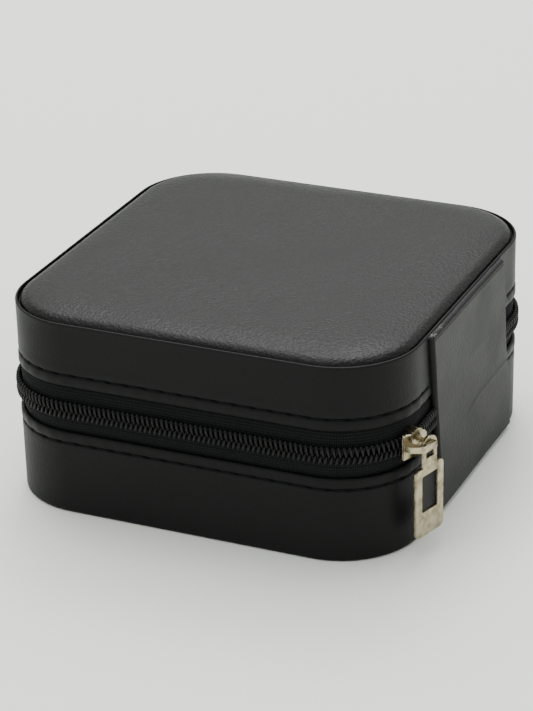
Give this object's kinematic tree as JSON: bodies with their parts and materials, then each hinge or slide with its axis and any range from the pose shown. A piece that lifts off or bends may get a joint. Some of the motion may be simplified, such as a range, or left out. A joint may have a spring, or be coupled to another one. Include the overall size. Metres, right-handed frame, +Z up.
{
  "type": "jewellery case",
  "caption": "Square zipped leather travel jewellery case with round corners, ring rolls, compartments, lid pocket and necklace straps.",
  "frame": {"origin": "middle of the underside, on the surface that the case stands on", "axes": "+Z up; +Y towards the leather spine that the lid turns on; +X to the right as seen from the front"},
  "size_m": [0.1022, 0.1054, 0.0498],
  "materials": {
    "wall_leather": "coated leather, fine grain, semi-matt",
    "top_leather": "coated leather, fine grain, padded",
    "spine_leather": "coated leather, flat, creased",
    "strap_leather": "thin leather strap",
    "board": "grey fibreboard",
    "foam": "white foam",
    "thread": "twisted polyester thread",
    "zip_tape": "woven polyester tape",
    "zip_coil": "black nylon coil",
    "nickel": "satin nickel, slightly tarnished",
    "puller_nickel": "satin nickel, slightly tarnished",
    "elastic": "velvet-covered elastic",
    "roll_velvet": "grey velvet over foam",
    "velvet": "grey velvet"
  },
  "bodies": {
    "base": {"base_bottom_cover": "wall_leather", "base_wall_cover": "wall_leather", "base_wall_board": "board", "base_bottom_board": "board", "base_inner_wall": "board", "base_wall_lining": "velvet", "base_floor_lining": "velvet", "base_stitching": "thread", "lower_tape": "zip_tape", "lower_coil": "zip_coil", "lower_tape_ends": "zip_tape", "lower_coil_ends": "zip_coil", "end_stops": "nickel", "long_divider": "velvet", "front_divider": "velvet", "back_divider": "velvet", "ring_roll_1": "roll_velvet", "ring_roll_2": "roll_velvet", "ring_roll_3": "roll_velvet", "ring_roll_4": "roll_velvet", "ring_roll_5": "roll_velvet", "ring_roll_6": "roll_velvet"},
    "lid": {"lid_wall_cover": "wall_leather", "lid_wall_board": "board", "lid_top_board": "board", "lid_top_foam": "foam", "lid_top_cover": "top_leather", "lid_inner_wall": "board", "lid_wall_lining": "velvet", "lid_panel_lining": "velvet", "lid_stitching": "thread", "upper_tape": "zip_tape", "upper_coil": "zip_coil", "upper_tape_ends": "zip_tape", "upper_coil_ends": "zip_coil", "lid_pocket": "velvet", "pocket_elastic": "elastic", "strap_anchors": "strap_leather", "snap_studs": "nickel", "spine_cover": "spine_leather", "spine_lining": "velvet"},
    "slider": {"slider_body": "nickel", "slider_bridge": "nickel"},
    "puller": {"puller": "puller_nickel"},
    "strap_1": {"necklace_strap_1": "strap_leather", "snap_cap_1": "nickel"},
    "strap_2": {"necklace_strap_2": "strap_leather", "snap_cap_2": "nickel"},
    "strap_3": {"necklace_strap_3": "strap_leather", "snap_cap_3": "nickel"}
  },
  "joints": [
    {"name": "lid_hinge", "type": "hinge", "parent": "base", "child": "lid", "pos_m": [0, 0.05, 0.0267], "axis": [-1, 0, 0], "range_deg": [0, 110], "deforming": ["spine_cover", "spine_lining", "upper_tape_ends", "upper_coil_ends"]},
    {"name": "slider_run", "type": "hinge", "parent": "base", "child": "slider", "pos_m": [0.031, 0.0303, 0.0267], "axis": [0, 0, 1], "range_deg": [-56, 0], "deforming": ["lower_tape_ends", "lower_coil_ends"]},
    {"name": "puller_swing", "type": "hinge", "parent": "slider", "child": "puller", "pos_m": [0.03551, 0.05293, 0.0268], "axis": [0.2756, 0.9613, 0], "range_deg": [-28, 36]},
    {"name": "strap_1_snap", "type": "hinge", "parent": "lid", "child": "strap_1", "pos_m": [-0.024, -0.0323, 0.0431], "axis": [-1, 0, 0], "range_deg": [0, 95]},
    {"name": "strap_2_snap", "type": "hinge", "parent": "lid", "child": "strap_2", "pos_m": [0, -0.0323, 0.0431], "axis": [-1, 0, 0], "range_deg": [0, 95]},
    {"name": "strap_3_snap", "type": "hinge", "parent": "lid", "child": "strap_3", "pos_m": [0.024, -0.0323, 0.0431], "axis": [-1, 0, 0], "range_deg": [0, 95]}
  ]
}
